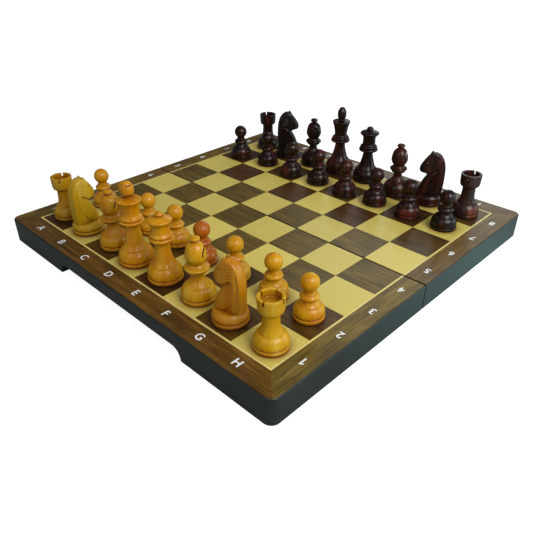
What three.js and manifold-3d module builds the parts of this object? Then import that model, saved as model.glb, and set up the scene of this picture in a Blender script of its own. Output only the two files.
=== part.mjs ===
// A folding wooden chess set, opened flat with its thirty-two pieces set out for play.
// Millimetres, +Z up. X runs along the files A to H and Y along the ranks 1 to 8.
// The origin is the centre of the open board, on the plane of the rims that stand on the table.
import * as THREE from "three";
import { mergeVertices } from "three/addons/utils/BufferGeometryUtils.js";
import Module from "manifold-3d";

const wasm = await Module();
wasm.setup();

// Driving dimensions.
const SQUARE = 42;
const STRINGING = 2;
const BORDER = 22;
const HEIGHT = 25;
const WALL = 8;
const CORNER = 8;
const PANEL = 4;
const VENEER = 0.7;
const LINING = 1.2;
const RIM_TO_LINING = 1;
const LIP = 1; // the strip of rail that shows round the veneer
const SEAM = 0.25; // from the fold line to each half
const GLUE = 0.1; // the clearance between pieces that are glued together

const FIELD = 4 * SQUARE;
const SIDE = FIELD + STRINGING + BORDER;
const BED = HEIGHT - VENEER; // the height at which the veneers are laid

const HANDLE = { halfLength: 93, depth: 11, endRadius: 10 };
const MAGNET = { x: 150, radius: 2.5, depth: 3, clearance: 0.3 };
const HINGE = {
  x: 112,
  length: 30,
  axisZ: -0.15,
  knuckleRadius: 1.75,
  boreRadius: 1.1,
  pinRadius: 0.8,
  leafWidth: 7.5,
  leafThickness: 1,
  knuckles: 5,
  clearance: 0.3,
};

const TURNED_FACETS = 12;
const ROUND_FACETS = 12;

const finishes = {
  boxwood: new THREE.MeshStandardMaterial({ color: 0xc98d22, roughness: 0.28 }),
  rosewood: new THREE.MeshStandardMaterial({ color: 0x2a100a, roughness: 0.22 }),
  lacquer: new THREE.MeshStandardMaterial({ color: 0x1d2322, roughness: 0.3 }),
  ply: new THREE.MeshStandardMaterial({ color: 0xb99a6b, roughness: 0.7 }),
  walnut: new THREE.MeshStandardMaterial({ color: 0x5b3c22, roughness: 0.35 }),
  maple: new THREE.MeshStandardMaterial({ color: 0xd8c078, roughness: 0.35 }),
  baize: new THREE.MeshStandardMaterial({ color: 0x1d4a2c, roughness: 0.95 }),
  brass: new THREE.MeshStandardMaterial({ color: 0xb08d3c, roughness: 0.35, metalness: 1 }),
  magnet: new THREE.MeshStandardMaterial({ color: 0xb9bcc0, roughness: 0.25, metalness: 1 }),
};

// ---- Solids: joining, cutting and simple shapes ----

function solid(geometry) {
  const bare = geometry.clone();
  bare.deleteAttribute("normal");
  bare.deleteAttribute("uv");
  const merged = mergeVertices(bare, 1e-4);
  return new wasm.Manifold(
    new wasm.Mesh({
      numProp: 3,
      vertProperties: new Float32Array(merged.attributes.position.array),
      triVerts: new Uint32Array(merged.index.array),
    }),
  );
}

function geometryOf(body) {
  const mesh = body.getMesh();
  const geometry = new THREE.BufferGeometry();
  geometry.setAttribute("position", new THREE.BufferAttribute(mesh.vertProperties, 3));
  geometry.setIndex(new THREE.BufferAttribute(mesh.triVerts, 1));
  return geometry;
}

function box([x0, y0, z0], [x1, y1, z1]) {
  return new THREE.BoxGeometry(x1 - x0, y1 - y0, z1 - z0).translate(
    (x0 + x1) / 2,
    (y0 + y1) / 2,
    (z0 + z1) / 2,
  );
}

function prism(shape, bottom, top) {
  const options = { depth: top - bottom, bevelEnabled: false, curveSegments: 6 };
  return new THREE.ExtrudeGeometry(shape, options).translate(0, 0, bottom);
}

// A bar of round section along X, centred on the hinge axis.
function hingeBar(radius, start, end) {
  return new THREE.CylinderGeometry(radius, radius, end - start, ROUND_FACETS)
    .rotateZ(Math.PI / 2)
    .translate((start + end) / 2, 0, HINGE.axisZ);
}

function named(name, finish, geometry) {
  const mesh = new THREE.Mesh(geometry, finishes[finish]);
  mesh.name = name;
  return mesh;
}

// ---- One half of the board, drawn on the front side of the fold line (negative Y) ----

// The half's outline, moved in from its outer faces, with round corners away from the fold.
function halfOutline(inset) {
  const side = SIDE - inset;
  const radius = CORNER - inset;
  const centre = side - radius;
  const shape = new THREE.Shape();
  shape.moveTo(-side, -SEAM);
  shape.lineTo(-side, -centre);
  shape.absarc(-centre, -centre, radius, Math.PI, 1.5 * Math.PI);
  shape.lineTo(centre, -side);
  shape.absarc(centre, -centre, radius, 1.5 * Math.PI, 2 * Math.PI);
  shape.lineTo(side, -SEAM);
  return shape;
}

function rectangleOutline(side) {
  const shape = new THREE.Shape();
  shape.moveTo(-side, -SEAM);
  shape.lineTo(-side, -side);
  shape.lineTo(side, -side);
  shape.lineTo(side, -SEAM);
  return shape;
}

// Turns an outline into a band that runs round three sides and is open at the fold.
function openBand(outline, inner) {
  outline.lineTo(inner, -SEAM);
  outline.lineTo(inner, -inner);
  outline.lineTo(-inner, -inner);
  outline.lineTo(-inner, -SEAM);
  return outline;
}

// The part of the case frame that lies inside one box, rabbeted along the top for the veneer.
function rail(low, high) {
  const frame = solid(prism(halfOutline(0), 0, HEIGHT));
  const rabbet = solid(prism(halfOutline(LIP), BED, HEIGHT + 1));
  return frame.intersect(solid(box(low, high))).subtract(rabbet);
}

// The hand-hold cut in the rim of the outer rail, with quarter-round ends.
function handleCut() {
  const { halfLength, depth, endRadius } = HANDLE;
  const shape = new THREE.Shape();
  shape.moveTo(-halfLength, -1);
  shape.lineTo(-halfLength, depth - endRadius);
  shape.absarc(endRadius - halfLength, depth - endRadius, endRadius, Math.PI, Math.PI / 2, true);
  shape.absarc(halfLength - endRadius, depth - endRadius, endRadius, Math.PI / 2, 0, true);
  shape.lineTo(halfLength, -1);
  const options = { depth: 3 * WALL, bevelEnabled: false, curveSegments: 6 };
  return new THREE.ExtrudeGeometry(shape, options)
    .rotateX(Math.PI / 2)
    .translate(0, -SIDE + 2 * WALL, 0);
}

function magnetCylinder(x, radius, depth) {
  return new THREE.CylinderGeometry(radius, radius, depth, ROUND_FACETS)
    .rotateX(Math.PI / 2)
    .translate(x, -SIDE + WALL / 2, depth / 2);
}

function outerRail() {
  let body = rail([-SIDE, -SIDE, 0], [SIDE, WALL - SIDE, HEIGHT]);
  body = body.subtract(solid(handleCut()));
  const { x, radius, depth, clearance } = MAGNET;
  for (const place of [-x, x]) {
    const bore = magnetCylinder(place, radius + clearance, 2 * (depth + clearance));
    bore.translate(0, 0, -depth - clearance);
    body = body.subtract(solid(bore));
  }
  return geometryOf(body);
}

function sideRail(side) {
  const outer = side * SIDE;
  const inner = side * (SIDE - WALL);
  const low = [Math.min(outer, inner), WALL - SIDE + GLUE, 0];
  const high = [Math.max(outer, inner), -SEAM, HEIGHT];
  return geometryOf(rail(low, high));
}

// The wall beside the fold, mortised for the hinge leaves and channelled for their knuckles.
function hingeRail() {
  const reach = SIDE - WALL - GLUE;
  const { x, length, leafWidth, leafThickness, knuckleRadius, clearance } = HINGE;
  let body = solid(box([-reach, -SEAM - WALL, 0], [reach, -SEAM, BED]));
  for (const place of [-x, x]) {
    const start = place - length / 2 - clearance;
    const end = place + length / 2 + clearance;
    const mortise = box(
      [start, -leafWidth - clearance, -1],
      [end, 0, leafThickness + clearance],
    );
    const channel = hingeBar(knuckleRadius + clearance + 0.1, start, end);
    body = body.subtract(solid(mortise)).subtract(solid(channel));
  }
  return geometryOf(body);
}

function topPanel() {
  const reach = SIDE - WALL - GLUE;
  return box([-reach, -reach, BED - PANEL], [reach, -SEAM - WALL - GLUE, BED - GLUE]);
}

// An open felt-covered tray against the panel and the four walls, its mouth at the rim.
function trayLining() {
  const reach = SIDE - WALL - 2 * GLUE;
  const hingeSide = -SEAM - WALL - 2 * GLUE;
  const ceiling = BED - PANEL - GLUE;
  const outside = box([-reach, -reach, RIM_TO_LINING], [reach, hingeSide, ceiling]);
  const inside = box(
    [LINING - reach, LINING - reach, RIM_TO_LINING - 1],
    [reach - LINING, hingeSide - LINING, ceiling - LINING],
  );
  return geometryOf(solid(outside).subtract(solid(inside)));
}

// A leaf plate with its share of the knuckles: firstKnuckle is 0 or 1, and it takes every second one.
function hingeLeaf(x, firstKnuckle) {
  const { length, knuckles, knuckleRadius, boreRadius, leafWidth, leafThickness } = HINGE;
  const floor = 0.05;
  const plateEdge = -knuckleRadius - 0.45;
  const pitch = length / knuckles;
  const start = x - length / 2;
  const top = floor + leafThickness;
  let body = solid(box([start, -leafWidth, floor], [start + length, plateEdge, top]));
  for (let i = firstKnuckle; i < knuckles; i += 2) {
    const from = start + i * pitch + HINGE.clearance / 2;
    const to = start + (i + 1) * pitch - HINGE.clearance / 2;
    const tab = box([from, plateEdge - 0.5, floor], [to, -boreRadius - 0.15, top]);
    const barrel = solid(hingeBar(knuckleRadius, from, to));
    const bore = solid(hingeBar(boreRadius, from - 1, to + 1));
    body = body.add(solid(tab)).add(barrel.subtract(bore));
  }
  return geometryOf(body);
}

function boardHalf(half, firstKnuckle) {
  const group = new THREE.Group();
  const add = (name, finish, geometry) => group.add(named(half + "_" + name, finish, geometry));
  const veneer = (shape) => prism(shape, BED, HEIGHT);
  const fieldSide = FIELD + GLUE / 2;
  const stringSide = FIELD + STRINGING;

  add("outer_rail", "lacquer", outerRail());
  add("left_rail", "lacquer", sideRail(-1));
  add("right_rail", "lacquer", sideRail(1));
  add("hinge_rail", "lacquer", hingeRail());
  add("top_panel", "ply", topPanel());
  add("playing_field_veneer", "maple", veneer(rectangleOutline(FIELD)));
  add("stringing", "maple", veneer(openBand(rectangleOutline(stringSide), fieldSide)));
  add("border_veneer", "walnut", veneer(openBand(halfOutline(LIP + GLUE), stringSide + GLUE / 2)));
  add("tray_lining", "baize", trayLining());
  add("left_magnet", "magnet", magnetCylinder(-MAGNET.x, MAGNET.radius, MAGNET.depth));
  add("right_magnet", "magnet", magnetCylinder(MAGNET.x, MAGNET.radius, MAGNET.depth));
  add("left_hinge_leaf", "brass", hingeLeaf(-HINGE.x, firstKnuckle));
  add("right_hinge_leaf", "brass", hingeLeaf(HINGE.x, firstKnuckle));
  return group;
}

// ---- The chess pieces, each standing on z = 0 with its axis at x = y = 0 ----

// The profile shared by every base: a plinth, a groove and the start of the swelling above it.
function base(radius) {
  return [
    [0, 0],
    [radius, 0],
    [radius, 4],
    [0.94 * radius, 4.6],
    [0.98 * radius, 7.5],
  ];
}

// A profile arc round a ball, from the given angle below the horizontal up to the pole.
function ballProfile(radius, centreZ, below, steps) {
  const points = [];
  for (let i = 0; i <= steps; i += 1) {
    const angle = -below + ((below + Math.PI / 2) * i) / steps;
    points.push([i === steps ? 0 : radius * Math.cos(angle), centreZ + radius * Math.sin(angle)]);
  }
  return points;
}

function turned(profile) {
  const points = profile.map(([radius, z]) => new THREE.Vector2(radius, z));
  return new THREE.LatheGeometry(points, TURNED_FACETS).rotateX(Math.PI / 2);
}

function pawn() {
  const collar = [
    [12.2, 11],
    [8.2, 16.3],
    [6.8, 18],
    [7.8, 20],
    [7.8, 23.5],
  ];
  return turned([...base(13.1), ...collar, ...ballProfile(7.5, 34, 1, 5)]);
}

// A stem under a round tower with a sunk top, and two crossed cuts that leave four battlements.
function rook() {
  const tower = [
    [12.8, 11],
    [9.6, 15],
    [7.1, 22],
    [6.9, 30.5],
    [10.3, 34.5],
    [10.8, 45.5],
    [7.9, 45.5],
    [7.9, 41.2],
    [0, 41.2],
  ];
  let body = solid(turned([...base(14.2), ...tower]));
  for (const turn of [0, Math.PI / 2]) {
    const cut = box([-12, -0.85, 41.7], [12, 0.85, 47]).rotateZ(turn);
    body = body.subtract(solid(cut));
  }
  return geometryOf(body);
}

// A mitre with a steep cut in one side and a button on top.
function bishop() {
  const stem = [
    [13.8, 11],
    [8.4, 17.8],
    [5.1, 23],
    [5.1, 25.5],
    [9.6, 28.8],
    [9.6, 31.3],
    [6.5, 34.5],
  ];
  const mitre = [
    [9, 40.5],
    [7.6, 49.5],
    [2.8, 54],
    [4, 55.3],
    [4, 57.6],
    [0, 58.7],
  ];
  const cut = box([-0.6, -10, -4.5], [0.6, 10, 8]).rotateY(0.24).translate(6, 0, 46.5);
  return geometryOf(solid(turned([...base(15), ...stem, ...mitre])).subtract(solid(cut)));
}

function queen() {
  const stem = [
    [13, 14],
    [8, 21],
    [5.8, 34.5],
    [11, 38.5],
    [6.9, 43.5],
  ];
  const coronet = [
    [7.2, 50.5],
    [10.5, 56],
    [10.3, 57.6],
    [3.4, 61],
    [4, 62.5],
    [2.4, 64.3],
    [0, 64.6],
  ];
  return turned([...base(15.8), ...stem, ...coronet]);
}

function king() {
  const stem = [
    [13, 14],
    [8, 22],
    [5.8, 35.5],
    [11.3, 40],
    [7.3, 44.5],
  ];
  const crown = [
    [7.2, 47.5],
    [10.6, 60],
    [10.4, 61.5],
    [3, 63.8],
    [5.1, 70],
    [4.6, 75],
    [2.6, 78.4],
    [0, 79],
  ];
  return turned([...base(16.4), ...stem, ...crown]);
}

// A horse's head and neck cut from a plank, facing +X, on a turned base.
function knight() {
  const horse = new THREE.Shape();
  horse.moveTo(-12.4, 9);
  horse.quadraticCurveTo(-15.4, 36, -11.2, 49);
  horse.lineTo(-7.2, 54.5);
  horse.lineTo(1.2, 56.8);
  horse.lineTo(10.6, 46);
  horse.lineTo(13.2, 38.5);
  horse.lineTo(11.6, 35.4);
  horse.lineTo(4.8, 32.5);
  horse.quadraticCurveTo(9.8, 22, 13, 9);
  horse.closePath();
  const plank = {
    depth: 10,
    bevelThickness: 1.5,
    bevelSize: 1.5,
    bevelOffset: -1.5,
    bevelSegments: 1,
    curveSegments: 4,
  };
  const head = new THREE.ExtrudeGeometry(horse, plank).translate(0, 0, -5).rotateX(Math.PI / 2);
  const foot = turned([...base(15.3), [12.6, 10.5], [0, 10.5]]);
  return geometryOf(solid(head).add(solid(foot)));
}

// ---- The set as it stands for the first move ----

const BACK_RANK = [
  ["rook_a", rook],
  ["knight_b", knight],
  ["bishop_c", bishop],
  ["king", king],
  ["queen", queen],
  ["bishop_f", bishop],
  ["knight_g", knight],
  ["rook_h", rook],
];
// How far each piece is turned from +X towards +Y, in degrees: the way a knight faces, and the
// side of a rook or a bishop that its cut opens on.
const TURNED_BY = {
  light_rook_a: 54,
  light_knight_b: 98,
  light_bishop_c: 48,
  light_bishop_f: 48,
  light_knight_g: 192,
  light_rook_h: 12,
  dark_rook_a: 57,
  dark_knight_b: 45,
  dark_bishop_c: 300,
  dark_bishop_f: 20,
  dark_knight_g: 215,
  dark_rook_h: 6,
};
// The pieces were set down by hand: how far each stands from the middle of its square, in X and Y.
const SET_DOWN = {
  light_rook_a: [-4, -0.5],
  light_knight_b: [-3, -2],
  light_bishop_c: [2, 0],
  light_king: [-1.5, -2],
  light_queen: [-0.5, -1.5],
  light_bishop_f: [2, -0.5],
  light_knight_g: [1, -2.5],
  light_rook_h: [4.5, -3.5],
  light_pawn_a: [-2, 1.5],
  light_pawn_b: [1, 2],
  light_pawn_c: [1.5, 0],
  light_pawn_d: [-0.5, 2.5],
  light_pawn_e: [2, -2],
  light_pawn_f: [1, 0.5],
  light_pawn_g: [2.5, 3],
  light_pawn_h: [1, 1],
  dark_rook_a: [2, 3],
  dark_bishop_c: [2.5, -1.5],
  dark_king: [-2, 4],
  dark_queen: [-2.5, 4],
  dark_bishop_f: [3.5, -4.5],
  dark_rook_h: [1.5, 1.5],
  dark_pawn_a: [1, -4.5],
  dark_pawn_b: [2.5, 1],
  dark_pawn_c: [6.5, -4.5],
  dark_pawn_d: [3.5, -0.5],
  dark_pawn_e: [4.5, -4.5],
  dark_pawn_f: [1, -0.5],
  dark_pawn_g: [2, -2.5],
  dark_pawn_h: [0.5, 0.5],
};
const FILES = "abcdefgh";
const STANDING = HEIGHT + 0.05;

function army(colour, finish, side) {
  const group = new THREE.Group();
  const stand = (name, geometry, file, rank) => {
    const mesh = named(colour + "_" + name, finish, geometry);
    const [x, y] = SET_DOWN[mesh.name] ?? [0, 0];
    mesh.position.set((file - 3.5) * SQUARE + x, side * (rank - 0.5) * SQUARE + y, STANDING);
    mesh.rotation.z = THREE.MathUtils.degToRad(TURNED_BY[mesh.name] ?? 0);
    group.add(mesh);
  };
  BACK_RANK.forEach(([name, make], file) => stand(name, make(), file, 4));
  [...FILES].forEach((letter, file) => stand("pawn_" + letter, pawn(), file, 3));
  return group;
}

const front = boardHalf("front", 0);
const hingePin = (x) => hingeBar(HINGE.pinRadius, x - HINGE.length / 2, x + HINGE.length / 2);
front.add(named("left_hinge_pin", "brass", hingePin(-HINGE.x)));
front.add(named("right_hinge_pin", "brass", hingePin(HINGE.x)));

const back = boardHalf("back", 1);
back.rotation.z = Math.PI;

const chessSet = new THREE.Group();
chessSet.add(front, back, army("light", "boxwood", -1), army("dark", "rosewood", 1));

export default chessSet;
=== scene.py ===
"""The looks of a folding wooden chess set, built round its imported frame.

Metres, +Z up. X runs along the files A to H and Y along the ranks 1 to 8. The board's halves lie on
either side of the fold line y = 0, and its rims stand on z = 0. A turned or carved chess piece is
drawn in millimetres, standing on z = 0 with its axis at x = y = 0, and then put on its square.
"""

import math
import random
from contextlib import contextmanager

import bmesh
import bpy
import numpy as np
from mathutils import Matrix, Vector


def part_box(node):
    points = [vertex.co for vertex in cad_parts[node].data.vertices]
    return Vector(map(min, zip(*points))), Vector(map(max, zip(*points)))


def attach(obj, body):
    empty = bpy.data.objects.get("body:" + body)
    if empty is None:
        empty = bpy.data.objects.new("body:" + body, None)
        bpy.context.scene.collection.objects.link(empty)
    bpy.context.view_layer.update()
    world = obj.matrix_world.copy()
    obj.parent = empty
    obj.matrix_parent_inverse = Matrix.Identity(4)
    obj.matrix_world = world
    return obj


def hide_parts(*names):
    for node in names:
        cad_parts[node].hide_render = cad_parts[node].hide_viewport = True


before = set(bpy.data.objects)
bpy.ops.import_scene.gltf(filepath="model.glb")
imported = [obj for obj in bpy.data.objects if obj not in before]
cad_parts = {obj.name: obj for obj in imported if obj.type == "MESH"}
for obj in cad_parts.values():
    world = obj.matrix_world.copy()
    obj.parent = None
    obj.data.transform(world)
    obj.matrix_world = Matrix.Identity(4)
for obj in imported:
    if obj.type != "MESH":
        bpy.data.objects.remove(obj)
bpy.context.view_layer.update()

MM = 0.001

# ---- Sizes read from the frame ----

FIELD_LOW, FIELD_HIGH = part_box("front_playing_field_veneer")
FIELD = FIELD_HIGH.x
SQUARE = FIELD / 4
TOP = FIELD_HIGH.z
BED = FIELD_LOW.z
SEAM = -FIELD_HIGH.y  # from the fold line to each half
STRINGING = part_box("front_stringing")[1].x
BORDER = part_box("front_border_veneer")[1].x
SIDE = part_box("front_outer_rail")[1].x
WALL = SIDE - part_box("front_right_rail")[0].x
LINING_LOW, LINING_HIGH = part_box("front_tray_lining")

# ---- Sizes of the details that the frame leaves out ----

CORNER = 8 * MM
CORNER_STEPS = 8
LIP = SIDE - BORDER
LIP_STEPS = 5
VENEER_EDGE = 0.12 * MM
VENEER_GAP = 0.01 * MM
TILE_EDGE = 0.07 * MM
LACQUER_EDGE = 0.4 * MM
FOLD_GAP = SEAM + 0.7 * MM  # from the fold line to the end of each veneer
RAIL_GAP = SEAM + 0.3 * MM  # from the fold line to the end of each side rail
HANDLE_HALF_LENGTH = 93 * MM
HANDLE_DEPTH = 11 * MM
HANDLE_RADIUS = 10 * MM  # of the rounding at each end of the hand-hold
HANDLE_STEPS = 10
LINING_THICKNESS = 1.2 * MM
LINING_CORNER = 3 * MM
GLYPH_SIZE = 10.6 * MM
GLYPH_BOLDNESS = 0.018
GLYPH_THICKNESS = 0.02 * MM

# In millimetres, as the profiles of the chess pieces are.
FELT_FOOT = 0.8
EASED_CORNER = 0.3

TURNED_SEGMENTS = 72
ARC_STEP = math.radians(11)
ROUNDED_ANGLE = math.radians(25)  # a corner of a profile that turns less is left as it is
SHARP_ANGLE = math.radians(40)

FILES = "ABCDEFGH"
HALVES = {"front": 0.0, "back": math.pi}  # how far each half is turned about Z from the front one

dice = random.Random(64)


# ---- Materials ----


def tone(code):
    """A colour given as six hexadecimal digits of sRGB, as linear red, green and blue."""
    shares = [int(code[i : i + 2], 16) / 255 for i in (0, 2, 4)]
    return tuple(s / 12.92 if s < 0.04045 else ((s + 0.055) / 1.055) ** 2.4 for s in shares)


class Graph:
    """A shader under construction. Its methods add a node and return its output socket."""

    def __init__(self, tree):
        self.tree = tree

    def feed(self, socket, value):
        if isinstance(value, bpy.types.NodeSocket):
            self.tree.links.new(value, socket)
        elif socket.type == "RGBA":
            socket.default_value = (*value[:3], 1)
        else:
            socket.default_value = value

    def add(self, kind, inputs, output=0, **settings):
        node = self.tree.nodes.new("ShaderNode" + kind)
        for name, value in settings.items():
            setattr(node, name, value)
        for key, value in inputs.items():
            self.feed(node.inputs[key], value)
        return node.outputs[output]

    def dimmed(self, value, share):
        return self.add("Math", {0: value, 1: share}, operation="MULTIPLY")

    def total(self, *terms):
        """The sum of pairs of a value and its weight."""
        made = 0.0
        for value, weight in terms:
            inputs = {0: value, 1: weight, 2: made}
            made = self.add("Math", inputs, operation="MULTIPLY_ADD")
        return made

    def scaled(self, vector, factors):
        return self.add("VectorMath", {0: vector, 1: factors}, operation="MULTIPLY")

    def drawn_out(self, vector, share):
        """The vector with its third axis shortened to a share, which draws a pattern out along it."""
        return self.scaled(vector, (1, 1, share))

    def noise(self, vector, size, detail, roughness=0.55):
        """Cloudy noise from 0 to 1, with features of about the given size in metres."""
        inputs = {"Vector": vector, "Scale": 1 / size, "Detail": detail, "Roughness": roughness}
        return self.add("TexNoise", inputs)

    def between(self, value, low, high, to_low, to_high):
        """The value's place from low to high, carried over to the other range and kept in it."""
        inputs = {0: value, 1: low, 2: high, 3: to_low, 4: to_high}
        return self.add("MapRange", inputs, clamp=True)

    def ramp(self, value, stops):
        node = self.tree.nodes.new("ShaderNodeValToRGB")
        elements = node.color_ramp.elements
        while len(elements) < len(stops):
            elements.new(0.5)
        for element, (position, colour) in zip(elements, stops):
            element.position = position
            element.color = (*colour, 1)
        self.feed(node.inputs[0], value)
        return node.outputs[0]

    def mix(self, share, first, second, blend="MIX"):
        inputs = {0: share, 6: first, 7: second}
        return self.add("Mix", inputs, 2, data_type="RGBA", blend_type=blend)

    def bump(self, height, depth, strength):
        return self.add("Bump", {"Height": height, "Distance": depth, "Strength": strength})

    def stored(self, name, output, kind="GEOMETRY"):
        """A value stored with the mesh's points, or with the object if that is the kind."""
        return self.add("Attribute", {}, output, attribute_name=name, attribute_type=kind)

    def place(self):
        return self.add("TexCoord", {}, "Object")


class Finish(Graph):
    """A material under construction."""

    def __init__(self, name):
        self.material = bpy.data.materials.new(name)
        self.material.use_nodes = True
        super().__init__(self.material.node_tree)
        self.surface = self.tree.nodes["Principled BSDF"]

    def set(self, **inputs):
        """Sets the surface's inputs, named in lower case with underscores for spaces."""
        for name, value in inputs.items():
            title = name.replace("_", " ").title().replace("Ior", "IOR")
            self.feed(self.surface.inputs[title], value)


def wood(name, tones, streak, contrast, pores, gloss, tinted=False):
    """Lacquered wood with its grain along the third axis of the mesh's grain coordinates.

    streak is how broad the soft streaks are, contrast how far their tones part, pores how dark
    the pores are, and gloss the lacquer's roughness. Where ambient occlusion finds the surface
    hemmed in, in grooves, necks and wells and near the board or a piece's foot, the colour is
    darker and redder: partly lacquer gathered in grooves, and partly painted shade.
    """
    f = Finish(name)
    place = f.stored("grain", "Vector")
    if tinted:
        seed = f.stored("seed", "Fac", "OBJECT")
        shift = f.add("VectorMath", {0: (0.19, 0.11, 0.37), 3: seed}, operation="SCALE")
        place = f.add("VectorMath", {0: place, 1: shift}, operation="ADD")
    bend = f.noise(f.drawn_out(place, 0.3), 20 * MM, detail=2)
    bent = f.add("VectorMath", {0: f.drawn_out(place, 0.07), 1: f.scaled(bend, (3 * MM,) * 3)})
    streaks = f.noise(bent, streak, detail=5, roughness=0.6)
    figure = f.noise(f.drawn_out(place, 0.2), 3.5 * streak, detail=2)
    fibres = f.noise(f.drawn_out(place, 0.02), 0.8 * MM, detail=3, roughness=0.7)
    pits = f.noise(f.drawn_out(place, 0.04), 0.4 * MM, detail=2)
    shade = f.total((streaks, 0.5), (figure, 0.25), (fibres, 0.25))
    shade = f.between(shade, 0.5 - 0.2 / contrast, 0.5 + 0.2 / contrast, 0, 1)
    colour = f.ramp(shade, list(zip((0.0, 0.5, 1.0), map(tone, tones))))
    holes = f.between(pits, 0.6, 0.72, 0, pores)
    colour = f.mix(holes, colour, tone(tones[0]), "MULTIPLY")
    tint = f.stored("tint", "Color", "OBJECT" if tinted else "GEOMETRY")
    colour = f.mix(1.0, colour, tint, "MULTIPLY")
    # Painted shade: darker and redder where little open sky reaches, in grooves, necks, wells and near the
    # board; partly lacquer gathered in grooves.
    open_sky = f.add("AmbientOcclusion", {"Distance": 9 * MM}, "AO", samples=6)
    painted_shade_tone = f.mix(1.0, colour, tone("A04E16"), "MULTIPLY")
    colour = f.mix(f.between(open_sky, 0.32, 0.92, 1, 0), colour, painted_shade_tone)
    relief = f.total((fibres, 0.4), (holes, -0.8))
    peel = f.noise(place, 2.5 * MM, detail=2)
    smears = f.noise(place, 9 * MM, detail=5, roughness=0.65)
    f.set(
        base_color=colour,
        roughness=f.between(streaks, 0.35, 0.65, gloss + 0.25, gloss + 0.4),
        specular_ior_level=0.1,
        normal=f.bump(relief, 0.05 * MM, 0.4),
        coat_weight=0.55,
        coat_roughness=f.between(smears, 0.35, 0.7, gloss, gloss + 0.08),
        coat_normal=f.bump(peel, 0.04 * MM, 0.3),
    )
    return f.material


def black_lacquer():
    """Satin black lacquer with orange peel, a worn, uneven sheen and a few pale specks."""
    f = Finish("black_lacquer")
    place = f.place()
    peel = f.noise(place, 1.4 * MM, detail=3)
    clouds = f.noise(place, 22 * MM, detail=5, roughness=0.65)
    specks = f.between(f.noise(place, 0.7 * MM, detail=1), 0.7, 0.78, 0, 1)
    colour = f.ramp(clouds, [(0.3, tone("0E1512")), (0.55, tone("151D19")), (0.75, tone("1D2521"))])
    colour = f.mix(f.dimmed(specks, 0.25), colour, tone("4A524E"))
    f.set(
        base_color=colour,
        roughness=f.between(clouds, 0.3, 0.7, 0.52, 0.66),
        specular_ior_level=0.5,
        normal=f.bump(peel, 0.05 * MM, 0.35),
        coat_weight=0.35,
        coat_roughness=f.between(clouds, 0.3, 0.7, 0.16, 0.28),
    )
    return f.material


def plywood():
    """Bare birch plywood."""
    f = Finish("plywood")
    place = f.scaled(f.place(), (0.08, 1, 1))
    streaks = f.noise(place, 2.5 * MM, detail=5, roughness=0.65)
    colour = f.ramp(streaks, [(0.3, tone("A98A5C")), (0.55, tone("C7AA7A")), (0.75, tone("D8BE90"))])
    f.set(base_color=colour, roughness=0.7, normal=f.bump(streaks, 0.1 * MM, 0.5))
    return f.material


def felt():
    """Short wool felt: matted fibres, a soft sheen and small worn patches."""
    f = Finish("felt")
    place = f.place()
    fibres = f.noise(place, 0.35 * MM, detail=4, roughness=0.8)
    clumps = f.noise(place, 2.5 * MM, detail=4, roughness=0.7)
    worn = f.noise(place, 30 * MM, detail=3)
    shade = f.total((fibres, 0.5), (clumps, 0.5))
    pale = tone("1E4A2D")
    colour = f.ramp(shade, [(0.35, tone("07140C")), (0.5, tone("0F2A19")), (0.7, pale)])
    colour = f.mix(f.between(worn, 0.5, 0.75, 0, 0.25), colour, pale)
    f.set(
        base_color=colour,
        roughness=0.95,
        specular_ior_level=0.15,
        sheen_weight=0.6,
        sheen_roughness=0.5,
        sheen_tint=pale,
        normal=f.bump(shade, 0.3 * MM, 0.8),
    )
    return f.material


def metal(name, tones, low, high):
    """Drawn and handled metal: fine scratches along X and uneven tarnish."""
    f = Finish(name)
    place = f.place()
    scratches = f.noise(f.scaled(place, (0.03, 1, 1)), 0.12 * MM, detail=2)
    tarnish = f.noise(place, 4 * MM, detail=5, roughness=0.65)
    colour = f.ramp(tarnish, list(zip((0.35, 0.55, 0.8), map(tone, tones))))
    f.set(
        base_color=colour,
        metallic=1.0,
        roughness=f.between(tarnish, 0.35, 0.7, low, high),
        normal=f.bump(scratches, 0.02 * MM, 0.4),
    )
    return f.material


def printed_white():
    """Screen-printed white ink, a little thin in places."""
    f = Finish("printed_white")
    thin = f.noise(f.place(), 1.1 * MM, detail=4, roughness=0.7)
    colour = f.ramp(thin, [(0.3, tone("C9D2D4")), (0.5, tone("DCE3E4")), (0.7, tone("E9EEEE"))])
    f.set(base_color=colour, roughness=0.45, coat_weight=0.5, coat_roughness=0.2)
    return f.material


MATERIALS = {
    "boxwood": wood("boxwood", ("A65400", "BC8300", "C6A030"), 9 * MM, 1.0, 0.1, 0.19, tinted=True),
    "rosewood": wood("rosewood", ("060201", "190402", "5E1C06"), 9 * MM, 1.1, 0.3, 0.22, tinted=True),
    "walnut_veneer": wood("walnut_veneer", ("3A290A", "56440E", "7A6122"), 2.2 * MM, 1.4, 0.5, 0.28),
    "maple_veneer": wood("maple_veneer", ("BCA950", "C5B358", "CEC067"), 6 * MM, 0.5, 0.04, 0.24),
    "black_lacquer": black_lacquer(),
    "plywood": plywood(),
    "felt": felt(),
    "brass": metal("brass", ("7A5A1E", "B08A3C", "CFAE62"), 0.16, 0.36),
    "magnet_steel": metal("magnet_steel", ("8D8F92", "B9BCC0", "D6D8DA"), 0.12, 0.28),
    "printed_white": printed_white(),
}


# ---- Meshes and pieces ----


def placed(name, data):
    obj = bpy.data.objects.new(name, data)
    bpy.context.scene.collection.objects.link(obj)
    return obj


@contextmanager
def edited(mesh):
    """Opens a mesh for editing, and stores what was done to it at the end."""
    shape = bmesh.new()
    shape.from_mesh(mesh)
    yield shape
    shape.to_mesh(mesh)
    shape.free()


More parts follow.
